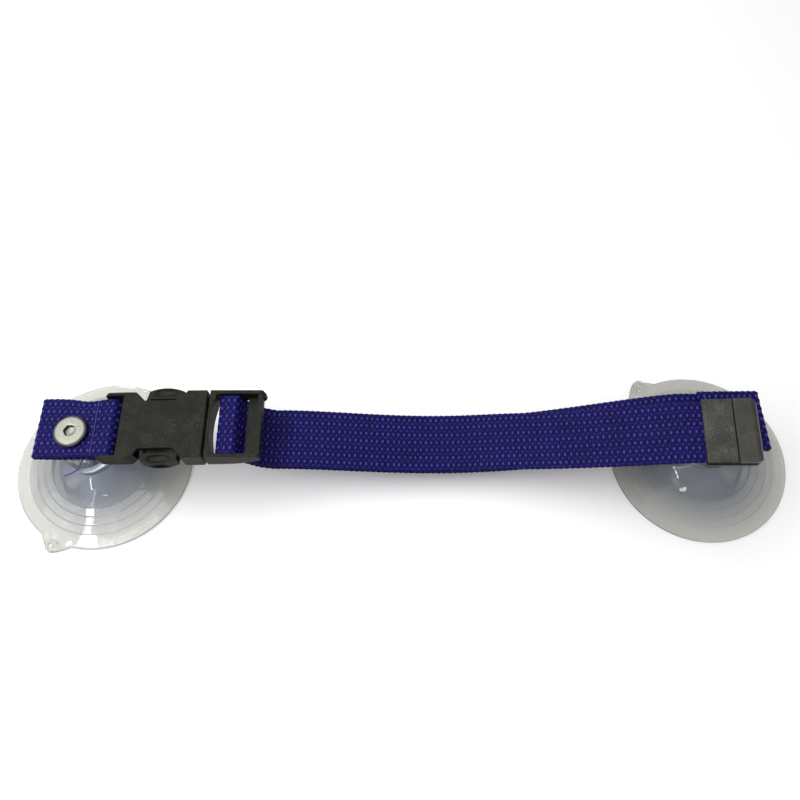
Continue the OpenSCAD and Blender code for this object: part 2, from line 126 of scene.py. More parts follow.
class Nodes:
    """A node tree, with short ways to add the nodes that the finishes share."""

    def __init__(self, tree: bpy.types.NodeTree) -> None:
        """Keeps the tree.

        Args:
            tree: The tree that the nodes go in.
        """
        self.tree = tree

    def feed(self, node: bpy.types.Node, inputs: dict[Any, Any]) -> None:
        """Fills a node's inputs.

        Args:
            node: The node.
            inputs: Input sockets by name or number, each with a value or a socket to link from.
        """
        for key, value in inputs.items():
            if isinstance(value, Socket):
                self.tree.links.new(value, node.inputs[key])
            else:
                node.inputs[key].default_value = value

    def add(self, kind: str, inputs: Optional[dict[Any, Any]] = None, **settings: Any) -> bpy.types.Node:
        """Adds a node.

        Args:
            kind: The node's type name.
            inputs: What its inputs hold, as in feed.
            settings: Properties to set on the node.

        Returns:
            The new node.
        """
        made = self.tree.nodes.new(kind)
        for key, value in settings.items():
            setattr(made, key, value)
        self.feed(made, inputs or {})
        return made

    def attribute(self, name: str) -> Socket:
        """The value that a mesh stores under a name."""
        return self.add("ShaderNodeAttribute", attribute_name=name).outputs["Fac"]

    def place(self) -> Socket:
        """The point's place in the object's own frame, in metres."""
        return self.add("ShaderNodeTexCoord").outputs["Object"]

    def mapped(self, place: Socket, **values: Any) -> Socket:
        """A place moved, turned or scaled by a Mapping node's Location, Rotation or Scale."""
        return self.add("ShaderNodeMapping", {"Vector": place, **values}).outputs[0]

    def vector(self, **axes: Any) -> Socket:
        """A vector from its X, Y and Z."""
        return self.add("ShaderNodeCombineXYZ", axes).outputs[0]

    def noise(self, place: Socket, scale: float, detail: float = 2.0, roughness: float = 0.5) -> Socket:
        """Noise from 0 to 1.

        Args:
            place: Where it is read.
            scale: How many features it has to a unit of place.
            detail: How many finer layers it has.
            roughness: How strong the finer layers are.

        Returns:
            Its value.
        """
        values = {"Vector": place, "Scale": scale, "Detail": detail, "Roughness": roughness}
        return self.add("ShaderNodeTexNoise", values).outputs[0]

    def spread(self, value: Socket, source: Point, target: Point) -> Socket:
        """Maps a value from one range to another and holds it at the ends.

        Args:
            value: The value.
            source: Its range.
            target: The range that it is mapped to.

        Returns:
            The mapped value.
        """
        limits = dict(enumerate((*source, *target), start=1))
        return self.add("ShaderNodeMapRange", {"Value": value, **limits}).outputs[0]

    def math(self, operation: str, first: Any, second: Any, clamp: bool = False) -> Socket:
        """Does sums on two values or sockets.

        Args:
            operation: The Math node's operation.
            first: Its first term.
            second: Its second term.
            clamp: Whether the result is held between 0 and 1.

        Returns:
            The result.
        """
        terms = {0: first, 1: second}
        return self.add("ShaderNodeMath", terms, operation=operation, use_clamp=clamp).outputs[0]

    def mixed(self, share: Socket, first: Any, second: Any) -> Socket:
        """A colour between two colours or sockets.

        Args:
            share: How much of the second colour there is.
            first: The colour at 0.
            second: The colour at 1.

        Returns:
            The colour.
        """
        return self.add("ShaderNodeMix", {0: share, 6: first, 7: second}, data_type="RGBA").outputs[2]

    def ramp(self, share: Socket, stops: dict[float, str]) -> Socket:
        """A colour from a ramp.

        Args:
            share: Where on the ramp it lies.
            stops: Hex colours by place, lowest first.

        Returns:
            The colour.
        """
        made = self.add("ShaderNodeValToRGB", {"Fac": share})
        elements = made.color_ramp.elements
        first, *between, last = stops.items()
        elements[0].position, elements[0].color = first[0], srgb(first[1])
        elements[1].position, elements[1].color = last[0], srgb(last[1])
        for place, code in between:
            elements.new(place).color = srgb(code)
        return made.outputs["Color"]

    def bump(self, height: Socket, strength: float, depth_mm: float) -> Socket:
        """A bumped normal.

        Args:
            height: The height, from 0 to 1.
            strength: How much of the bump shows.
            depth_mm: How deep it is.

        Returns:
            The normal.
        """
        values = {"Height": height, "Strength": strength, "Distance": depth_mm * MM}
        return self.add("ShaderNodeBump", values).outputs[0]


# ---- finishes


@dataclass(frozen=True)
class Finish:
    """A finish: what a piece is made of and how its surface was made."""

    name: str

    def dress(self, nodes: Nodes) -> dict[str, Any]:
        """Adds this finish's own nodes.

        Args:
            nodes: The material's node tree.

        Returns:
            What the Principled shader's inputs hold.
        """
        return {}

    def material(self) -> bpy.types.Material:
        """Returns the material, building it the first time."""
        found = bpy.data.materials.get(self.name)
        if found:
            return found
        made = bpy.data.materials.new(self.name)
        made.use_nodes = True
        nodes = Nodes(made.node_tree)
        nodes.feed(made.node_tree.nodes["Principled BSDF"], self.dress(nodes))
        return made


@dataclass(frozen=True)
class WovenPolyester(Finish):
    """Royal blue polyester webbing: matte, with painted highlights on the yarn crowns and painted shade in the
    gaps between yarns.
    """

    # Painted shade in the gaps and a painted highlight on the crowns, with the yarn's own blue between them
    painted_gap_shade: str = "#07043a"
    flank: str = "#17115a"
    crown: str = "#454190"
    filament_mm: float = 0.12

    def dress(self, nodes: Nodes) -> dict[str, Any]:
        """Painted shade and highlight from the weave's relief, with painted glints of filaments along the
        yarns.

        Args:
            nodes: The material's node tree.

        Returns:
            What the Principled shader's inputs hold.
        """
        place = nodes.vector(X=nodes.attribute("along_mm"), Y=nodes.attribute("across_mm"))
        # Filaments lie nearly along each yarn; their noise is added to the weave's height, which paints glints
        # along them into the colour
        twist = nodes.mapped(
            place, Rotation=(0, 0, math.radians(24)), Scale=(0.9, 1 / self.filament_mm / 2, 1)
        )
        filament = nodes.noise(twist, 1.0, 3.0, 0.6)
        painted_filament_glint = nodes.spread(filament, (0.3, 0.7), (-0.2, 0.2))
        height = nodes.math("ADD", nodes.attribute("crown"), painted_filament_glint, clamp=True)
        # Painted shade and highlight: the colour runs from dark in the gaps between yarns to light on the
        # crowns, following the weave's height
        yarn = nodes.ramp(height, {0.12: self.painted_gap_shade, 0.5: self.flank, 0.95: self.crown})
        # Dye takes unevenly over lengths of about 9 mm
        cloud = nodes.noise(place, 0.11, 2.0)
        dye = nodes.spread(cloud, (0.3, 0.7), (0.86, 1.14))
        return {
            "Base Color": nodes.add("ShaderNodeHueSaturation", {"Color": yarn, "Value": dye}).outputs[0],
            "Normal": nodes.bump(filament, 0.5, 0.12),
            "Roughness": 0.62,
            "Specular IOR Level": 0.1,
            "Sheen Weight": 0.02,
            "Sheen Roughness": 0.45,
            "Sheen Tint": srgb("#8c8ae0"),
        }


@dataclass(frozen=True)
class SewingThread(Finish):
    """Twisted navy polyester thread: satin, with a fine ply running round it."""

    colour: str = "#17134f"
    # The lighter blue is a painted highlight on the ply ridges
    light: str = "#3a368c"

    def dress(self, nodes: Nodes) -> dict[str, Any]:
        """Fine plies, with a lighter blue painted on their ridges as a highlight.

        Args:
            nodes: The material's node tree.

        Returns:
            What the Principled shader's inputs hold.
        """
        turned = nodes.mapped(nodes.place(), Rotation=(0.4, 0.3, 0.6))
        values = {"Vector": turned, "Scale": 800.0, "Distortion": 2.0, "Detail": 2.0}
        ply = nodes.add("ShaderNodeTexWave", values).outputs["Fac"]
        # Painted highlight: the lighter blue follows the ply's height
        return {
            "Base Color": nodes.mixed(ply, srgb(self.colour), srgb(self.light)),
            "Normal": nodes.bump(ply, 0.4, 0.06),
            "Roughness": 0.5,
        }


@dataclass(frozen=True)
class SparkErodedPlastic(Finish):
    """Black moulding from a spark-eroded tool: a fine grain that turns highlights to a soft haze."""

    base: str = "#0c0d07"
    # Lighter grey for scuffs, and for painted glints on the grain
    scuff_and_glint: str = "#2c2d23"
    roughness: float = 0.5
    gloss: float = 0.13
    grain_mm: float = 0.28
    depth_mm: float = 0.07

    def dress(self, nodes: Nodes) -> dict[str, Any]:
        """Fine grain with slight grey scuffing, and painted glints where the grain is lightened.

        Args:
            nodes: The material's node tree.

        Returns:
            What the Principled shader's inputs hold.
        """
        place = nodes.place()
        grain = nodes.noise(place, 1 / (self.grain_mm * MM) / 2, 3.0, 0.55)
        # Handling leaves faint grey patches a few millimetres across
        scuff = nodes.noise(place, 160.0, 5.0, 0.6)
        # Partly wear and partly painted glint: the fine grain inside the scuffed patches is lightened into
        # specks of highlight
        share = nodes.math("MULTIPLY", grain, scuff)
        rough = (self.roughness - 0.06, self.roughness + 0.08)
        return {
            "Base Color": nodes.ramp(share, {0.18: self.base, 0.4: self.scuff_and_glint}),
            "Roughness": nodes.spread(scuff, (0.3, 0.7), rough),
            "Normal": nodes.bump(grain, 0.8, self.depth_mm),
            "Specular IOR Level": self.gloss,
        }


@dataclass(frozen=True)
class ZincPlate(Finish):
    """Zinc plated steel, warm and pale, with faint turning marks round its axis."""

    axis_mm: Point = (0.0, 0.0)
    bright: str = "#83837c"
    dull: str = "#67665f"

    def dress(self, nodes: Nodes) -> dict[str, Any]:
        """Fine rings and a cloudy passivated film.

        Args:
            nodes: The material's node tree.

        Returns:
            What the Principled shader's inputs hold.
        """
        place = nodes.place()
        centred = nodes.mapped(place, Location=(-self.axis_mm[0] * MM, -self.axis_mm[1] * MM, 0))
        values = {"Vector": centred, "Scale": 900.0, "Distortion": 0.6, "Detail": 1.0}
        rings = nodes.add("ShaderNodeTexWave", values, wave_type="RINGS", rings_direction="Z").outputs["Fac"]
        film = nodes.noise(place, 420.0, 4.0)
        return {
            "Base Color": nodes.mixed(film, srgb(self.dull), srgb(self.bright)),
            "Roughness": nodes.spread(film, (0.3, 0.7), (0.26, 0.4)),
            "Normal": nodes.bump(rings, 0.25, 0.03),
            "Metallic": 1.0,
        }


@dataclass(frozen=True)
class ClearVinyl(Finish):
    """Plasticised PVC, moulded clear: glossy, very slightly grey and rippled."""

    axis_mm: Point = (0.0, 0.0)
    lip: str = "#dadad4"
    neck: str = "#b4bac6"
    # Painted shade for walls seen edge on
    painted_steep_shade: str = "#5d616b"

    def dress(self, nodes: Nodes) -> dict[str, Any]:
        """A refracting body with the soft ripple of a flexible moulding, and painted shade on walls seen edge
        on.

        Args:
            nodes: The material's node tree.

        Returns:
            What the Principled shader's inputs hold.
        """
        place = nodes.place()
        ripple = nodes.noise(place, 90.0, 2.0)
        haze = nodes.noise(place, 300.0, 4.0)
        # The wall is thin at the lip and thick at the neck, where it looks greyer and bluer
        centre = (-self.axis_mm[0] * MM, -self.axis_mm[1] * MM, 0)
        centred = nodes.mapped(place, Location=centre, Scale=(1, 1, 0))
        out = nodes.add("ShaderNodeVectorMath", {0: centred}, operation="LENGTH").outputs["Value"]
        inward = nodes.spread(out, (0.034, 0.011), (0.0, 1.0))
        body = nodes.mixed(inward, srgb(self.lip), srgb(self.neck))
        # Steep walls are seen through more material
        # Painted shade: walls seen edge on are darkened towards grey, standing in for the dark outlines that
        # refraction gives clear plastic
        facing = nodes.add("ShaderNodeLayerWeight", {"Blend": 0.4}).outputs["Facing"]
        painted_shade_share = nodes.spread(facing, (0.2, 0.6), (0.0, 0.85))
        return {
            "Base Color": nodes.mixed(painted_shade_share, body, srgb(self.painted_steep_shade)),
            "Roughness": nodes.spread(haze, (0.3, 0.7), (0.02, 0.08)),
            "Normal": nodes.bump(ripple, 0.25, 0.6),
            # Part of the light passes straight through, so that the cup casts a pale shadow
            "Alpha": nodes.spread(out, (0.036, 0.020), (0.72, 0.88)),
            "Transmission Weight": 1.0,
            "IOR": 1.53,
        }


@dataclass(frozen=True)
class MattPaint(Finish):
    """Matt white paint, with the faint tooth of a roller."""

    def dress(self, nodes: Nodes) -> dict[str, Any]:
        """A slightly uneven matt surface.

        Args:
            nodes: The material's node tree.

        Returns:
            What the Principled shader's inputs hold.
        """
        tooth = nodes.noise(nodes.place(), 700.0)
        return {
            "Base Color": srgb("#f4f4f4"),
            "Roughness": nodes.spread(tooth, (0.0, 1.0), (0.86, 0.94)),
            "Specular IOR Level": 0.1,
        }


WEBBING = WovenPolyester("woven polyester webbing, royal blue")
THREAD = SewingThread("twisted polyester thread, navy")
ACETAL = SparkErodedPlastic("spark eroded acetal, black")
# The second colour of each is scuffing and painted glint on the grain
CLIP_FINISH = SparkErodedPlastic(
    "spark eroded polypropylene, charcoal", "#1b1c16", "#47483f", roughness=0.4, gloss=0.36, grain_mm=0.3
)
CLIP_SMOOTH = SparkErodedPlastic(
    "satin polypropylene, charcoal", "#26271f", "#3a3b33", roughness=0.34, gloss=0.36, depth_mm=0.012
)


# ---- shared mesh tools


def linked(name: str, data: Any) -> Piece:
    """Puts a mesh, light or camera in the scene as an object and returns the object."""
    made = bpy.data.objects.new(name, data)
    bpy.context.scene.collection.objects.link(made)
    return made


def edit_mesh(piece: Piece, change: Callable[[bmesh.types.BMesh], None]) -> None:
    """Changes a piece's mesh.

    Args:
        piece: The piece.
        change: What is done to its mesh.
    """
    solid = bmesh.new()
    solid.from_mesh(piece.data)
    change(solid)
    solid.to_mesh(piece.data)
    solid.free()


def combine(piece: Piece, other: Piece, operation: str) -> None:
    """Joins or cuts a piece with another, which is then removed.

    Args:
        piece: The piece that is changed.
        other: The solid that is joined to it or cut from it.
        operation: "UNION" or "DIFFERENCE".
    """
    work = piece.modifiers.new(other.name, "BOOLEAN")
    work.operation = operation
    work.solver = "EXACT"
    work.object = other
    bake_modifiers(piece)
    bpy.data.objects.remove(other)


def make_object(
    name: str,
    vertices: Sequence[Sequence[float]] | np.ndarray,
    faces: Iterable[Sequence[int]],
    finish: Finish,
) -> Piece:
    """Makes a smooth-shaded mesh object at the origin.

    Args:
        name: The object's name.
        vertices: Points in millimetres.
        faces: Vertex numbers of each face.
        finish: The finish of its one material slot.

    Returns:
        The object, linked to the scene.
    """
    mesh = bpy.data.meshes.new(name)
    mesh.from_pydata((np.asarray(vertices, float) * MM).tolist(), [], [list(f) for f in faces])
    mesh.polygons.foreach_set("use_smooth", [True] * len(mesh.polygons))
    mesh.materials.append(finish.material())
    mesh.update()
    return linked(name, mesh)


def bake_modifiers(piece: Piece) -> None:
    """Applies every modifier on a piece and removes them.

    Args:
        piece: The object, whose mesh is replaced by the evaluated one.
    """
    graph = bpy.context.evaluated_depsgraph_get()
    graph.update()
    plain = bpy.data.meshes.new_from_object(piece.evaluated_get(graph), depsgraph=graph)
    piece.modifiers.clear()
    piece.data = plain


def crease_by_angle(piece: Piece, degrees: float) -> None:
    """Marks edges sharper than an angle, so that flat faces stay flat.

    Args:
        piece: The object to shade.
        degrees: The smallest angle that counts as an edge.
    """

    def change(solid: bmesh.types.BMesh) -> None:
        """Shades every face smooth and marks the sharp edges."""
        for edge in solid.edges:
            edge.smooth = edge.calc_face_angle(0.0) < math.radians(degrees)
        for face in solid.faces:
            face.smooth = True

    edit_mesh(piece, change)


def settle(piece: Piece, slot: Slot, body: str, *nodes: str) -> None:
    """Hides the nodes that a piece stands for and puts it on the body it rides on.

    Args:
        piece: The finished piece.
        slot: Its material slot; not used.
        body: The body it moves with.
        nodes: CAD nodes that it replaces.
    """
    if nodes:
        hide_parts(*nodes)
    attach(piece, body)
    LOG.info("%s: %d faces on %s", piece.name, len(piece.data.polygons), body)


def eased_copy(node: str, name: str, finish: Finish, ease_mm: float) -> Piece:
    """A merged copy of a CAD node with its edges eased.

    Args:
        node: The CAD node.
        name: The new piece's name.
        finish: Its finish.
        ease_mm: The width of the easing.

    Returns:
        The new piece, with its modifiers applied.
    """
    solid = bmesh.new()
    solid.from_mesh(frame["nodes"][node].data)
    bmesh.ops.remove_doubles(solid, verts=solid.verts, dist=2e-6)
    bmesh.ops.dissolve_limit(solid, angle_limit=math.radians(0.6), verts=solid.verts, edges=solid.edges)
    mesh = bpy.data.meshes.new(name)
    solid.to_mesh(mesh)
    solid.free()
    mesh.materials.clear()
    mesh.materials.append(finish.material())
    piece = linked(name, mesh)
    ease = piece.modifiers.new("eased edges", "BEVEL")
    ease.width = ease_mm * MM
    ease.segments = 3
    ease.limit_method = "ANGLE"
    ease.angle_limit = math.radians(28)
    ease.use_clamp_overlap = True
    crease_by_angle(piece, 75)
    flat = piece.modifiers.new("flat faces stay flat", "WEIGHTED_NORMAL")
    flat.keep_sharp = True
    flat.weight = 100
    bake_modifiers(piece)
    return piece


def full_turn(n: int) -> list[float]:
    """Evenly spaced angles of a whole turn, in radians."""
    return [2 * math.pi * k / n for k in range(n)]


def arc(cx: float, cz: float, r: float, start: float, end: float, n: int = 24) -> list[Point]:
    """Points of an arc from one angle to another, in degrees."""
    turns = np.radians(np.linspace(start, end, n + 1))
    return [(cx + r * math.cos(t), cz + r * math.sin(t)) for t in turns]


def catmull(points: Sequence[Point], n: int = 12) -> list[Point]:
    """A Catmull-Rom curve through points.

    Args:
        points: The points, in order.
        n: How many steps each span has.

    Returns:
        The curve's points.
    """
    p = [points[0], *points, points[-1]]
    made = []
    for i in range(1, len(p) - 2):
        a, b, c, d = (np.array(q, float) for q in p[i - 1 : i + 3])
        for t in np.arange(n) / n:
            bend, twist = 2 * a - 5 * b + 4 * c - d, 3 * b - a - 3 * c + d
            made.append(tuple(0.5 * (2 * b + (c - a) * t + bend * t**2 + twist * t**3)))
    return [*made, tuple(points[-1])]


def rounded(points: Sequence[Spot], n: int = 5) -> list[Point]:
    """Rounds the corners of an open outline.

    Args:
        points: Each corner as (across, up, radius).
        n: How many steps each round has.

    Returns:
        The outline's points.
    """
    made: list[Point] = []
    for i, (x, z, r) in enumerate(points):
        if r <= 0 or i in (0, len(points) - 1):
            made.append((x, z))
            continue
        here = np.array((x, z))
        before = np.array(points[i - 1][:2]) - here
        after = np.array(points[i + 1][:2]) - here
        reach = min(r, 0.45 * np.linalg.norm(before), 0.45 * np.linalg.norm(after))
        a = here + before / np.linalg.norm(before) * reach
        b = here + after / np.linalg.norm(after) * reach
        for t in np.linspace(0, 1, n + 1):
            q = (1 - t) ** 2 * a + 2 * t * (1 - t) * here + t**2 * b
            made.append((float(q[0]), float(q[1])))
    return made


def lathe(
    outline: Sequence[Point],
    centre: Spot,
    turns: Sequence[float],
    stretch: Optional[Callable[[float, float, float], float]] = None,
) -> tuple[list[Spot], list[list[int]]]:
    """Turns an outline about the upright axis.

    Args:
        outline: Points as (radius, height), from one point on the axis to another.
        centre: The axis's place and the height of the outline's zero.
        turns: The angles of the rings' points, in radians.
        stretch: Gives a point's radius from its radius, height and angle.

    Returns:
        Vertices in millimetres, and faces.
    """
    vertices: list[Spot] = []
    rings: list[list[int]] = []
    for r, z in outline:
        if r < 1e-9:
            rings.append([len(vertices)] * len(turns))
            vertices.append((centre[0], centre[1], centre[2] + z))
            continue
        rings.append(list(range(len(vertices), len(vertices) + len(turns))))
        for t in turns:
            s = stretch(r, z, t) if stretch else r
            vertices.append((centre[0] + s * math.cos(t), centre[1] + s * math.sin(t), centre[2] + z))
    faces = []
    for lower, upper in zip(rings, rings[1:]):
        for k in range(len(turns)):
            j = (k + 1) % len(turns)
            corners = [lower[k], lower[j], upper[j], upper[k]]
            face = [v for i, v in enumerate(corners) if v != corners[i - 1]]
            if len(face) > 2:
                faces.append(face)
    return vertices, faces


def outward(piece: Piece) -> Piece:
    """Turns a closed piece's faces outwards.

    Args:
        piece: The piece.

    Returns:
        The same piece.
    """

    def change(solid: bmesh.types.BMesh) -> None:
        """Joins the points that meet and turns the faces."""
        bmesh.ops.remove_doubles(solid, verts=solid.verts, dist=1e-7)
        bmesh.ops.recalc_face_normals(solid, faces=solid.faces)

    edit_mesh(piece, change)
    return piece


# ---- geometry node trees


class GeometryTree(Nodes):
    """A Geometry Nodes tree with named inputs that ends in Realize Instances and Set Material."""

    def __init__(self, name: str, inputs: dict[str, tuple[str, Any]]) -> None:
        """Starts the tree.

        Args:
            name: The tree's name.
            inputs: Each input's socket type and default, by name.
        """
        super().__init__(bpy.data.node_groups.new(name, "GeometryNodeTree"))
        ports = self.tree.interface
        ports.new_socket("Geometry", in_out="INPUT", socket_type="NodeSocketGeometry")
        self.sockets = {}
        for title, (kind, default) in {**inputs, "Material": ("NodeSocketMaterial", None)}.items():
            made = ports.new_socket(title, in_out="INPUT", socket_type=kind)
            if default is not None:
                made.default_value = default
            self.sockets[title] = made.identifier
        ports.new_socket("Geometry", in_out="OUTPUT", socket_type="NodeSocketGeometry")
        self.entry = self.add("NodeGroupInput").outputs

    def close(self, geometry: Socket) -> None:
        """Ends the tree.

        Args:
            geometry: The socket that holds the finished geometry.
        """
        real = self.add("GeometryNodeRealizeInstances", {0: geometry}).outputs[0]
        values = {"Geometry": real, "Material": self.entry["Material"]}
        dressed = self.add("GeometryNodeSetMaterial", values).outputs[0]
        self.add("NodeGroupOutput", {"Geometry": dressed})

    def run(self, piece: Piece, finish: Finish, **values: Any) -> None:
        """Runs the tree on a piece and leaves a plain mesh.

        Args:
            piece: The object that the tree works on.
            finish: The finish that the tree sets.
            values: Input values by name.
        """
        modifier = piece.modifiers.new(self.tree.name, "NODES")
        modifier.node_group = self.tree
        modifier[self.sockets["Material"]] = finish.material()
        for title, value in values.items():
            modifier[self.sockets[title]] = value
        bake_modifiers(piece)


def woven_relief() -> GeometryTree:
    """The weave of the webbing: warp yarns that cross over weft yarns by turns.

    Returns:
        A tree that moves a band's skin by its weave and stores each point's height as "crown".
    """
    settings = {"Weft pitch": 1.15, "Warp pitch": 1.7, "Relief": 0.00032, "Wander": 0.28, "Seed": 7.0}
    made = GeometryTree("Woven relief", {k: ("NodeSocketFloat", v) for k, v in settings.items()})
    entry, sums = made.entry, made.math
    along, across, gain = (
        made.add("GeometryNodeInputNamedAttribute", {"Name": title}, data_type="FLOAT").outputs[0]
        for title in ("along_mm", "across_mm", "gain")
    )
    place = made.vector(X=along, Y=across, Z=entry["Seed"])

    def crossing(at: Socket, slip: Socket, pitch: Socket) -> tuple[Socket, Socket]:
        """How far a set of yarns is over and under the other set.

        Args:
            at: How far along its own row of crossings the point is.
            slip: How far the row has wandered there.
            pitch: The crossings' spacing.

        Returns:
            How far it is over, and how far it is under, from 0 to 1.
        """
        turn = sums("MULTIPLY", sums("DIVIDE", sums("ADD", at, slip), pitch), math.pi)
        wave = sums("COSINE", turn, 0.0)
        return sums("MAXIMUM", wave, 0.0), sums("MAXIMUM", sums("MULTIPLY", wave, -1.0), 0.0)

    slip = sums("MULTIPLY", sums("SUBTRACT", made.noise(place, 0.16, 1.0), 0.5), entry["Wander"])
    weft_up, weft_down = crossing(along, sums("MULTIPLY", slip, 4.0), entry["Weft pitch"])
    warp_up, warp_down = crossing(across, slip, entry["Warp pitch"])
    # Bold round crowns, thin dashes between them, and the weft where it comes over
    crowns = sums("POWER", sums("MULTIPLY", weft_up, warp_up), 0.45)
    dashes = sums("POWER", sums("MULTIPLY", weft_down, sums("POWER", warp_down, 1.6)), 0.5)
    weft = sums("MULTIPLY", sums("MULTIPLY", weft_up, warp_down), 0.42)
    cloth = sums("ADD", sums("ADD", crowns, sums("MULTIPLY", dashes, 0.72)), weft)
    nap = sums("MULTIPLY", sums("SUBTRACT", made.noise(place, 1.9, 2.0), 0.5), 0.8)
    height = sums("ADD", cloth, nap)
    rise = sums("MULTIPLY", sums("MULTIPLY", sums("SUBTRACT", height, 0.5), gain), entry["Relief"])
    normal = made.add("GeometryNodeInputNormal").outputs[0]
    scaled = {0: normal, "Scale": rise}
    offset = made.add("ShaderNodeVectorMath", scaled, operation="SCALE").outputs[0]
    heights = {"Geometry": entry["Geometry"], "Name": "crown", "Value": height}
    stored = made.add("GeometryNodeStoreNamedAttribute", heights, data_type="FLOAT", domain="POINT").outputs[0]
    made.close(made.add("GeometryNodeSetPosition", {"Geometry": stored, "Offset": offset}).outputs[0])
    return made


def stitch_row() -> GeometryTree:
    """A row of lock stitches across the webbing.

    Returns:
        A tree that lays stitches from the piece's first vertex along Y.
    """
    made = GeometryTree(
        "Stitch row",
        {
            "Count": ("NodeSocketInt", 8),
            "Pitch": ("NodeSocketFloat", 0.003),
            "Length": ("NodeSocketFloat", 0.0024),
            "Thread": ("NodeSocketFloat", 0.0003),
            "Seed": ("NodeSocketInt", 3),
        },
    )
    entry = made.entry
    spaced = {"Count": entry["Count"], "Offset": made.vector(Y=entry["Pitch"])}
    line = made.add("GeometryNodeMeshLine", spaced).outputs[0]
    spot = made.add("GeometryNodeInputPosition").outputs[0]
    first = {"Geometry": entry["Geometry"], "Value": spot, "Index": 0}
    start = made.add("GeometryNodeSampleIndex", first, data_type="FLOAT_VECTOR", domain="POINT").outputs[0]
    placed = made.add("GeometryNodeSetPosition", {"Geometry": line, "Offset": start}).outputs[0]
    half = made.math("MULTIPLY", entry["Length"], 0.5)
    back = made.math("MULTIPLY", half, -1.0)
    sink = made.math("MULTIPLY", entry["Thread"], -0.8)
    rise = made.math("MULTIPLY", entry["Thread"], 1.3)
    ends = {"Start": made.vector(Y=back, Z=sink), "End": made.vector(Y=half, Z=sink)}
    arch = {"Resolution": 8, "Middle": made.vector(Z=rise), **ends}
    bow = made.add("GeometryNodeCurveQuadraticBezier", arch).outputs[0]
    round_thread = {"Resolution": 8, "Radius": entry["Thread"]}
    ring = made.add("GeometryNodeCurvePrimitiveCircle", round_thread).outputs[0]
    swept = {"Curve": bow, "Profile Curve": ring, "Fill Caps": True}
    thread = made.add("GeometryNodeCurveToMesh", swept).outputs[0]
    leans = {2: -0.09, 3: 0.09, "Seed": entry["Seed"]}
    lean = made.add("FunctionNodeRandomValue", leans, data_type="FLOAT").outputs[1]
    laid = {"Points": placed, "Instance": thread, "Rotation": made.vector(Z=lean)}
    made.close(made.add("GeometryNodeInstanceOnPoints", laid).outputs[0])
    return made


# ---- webbing


def main_z(x: float) -> float:
    """Height of the main run's middle, which hangs between the adjuster and the right cup, at an X."""
    u = min(max((x - PLUG_X) / (FOLD_X - PLUG_X), 0.0), 1.0)
    return PLUG_Z + RUN_RISE * u - RUN_SAG * max(0.0, math.sin(math.pi * u)) ** 1.4


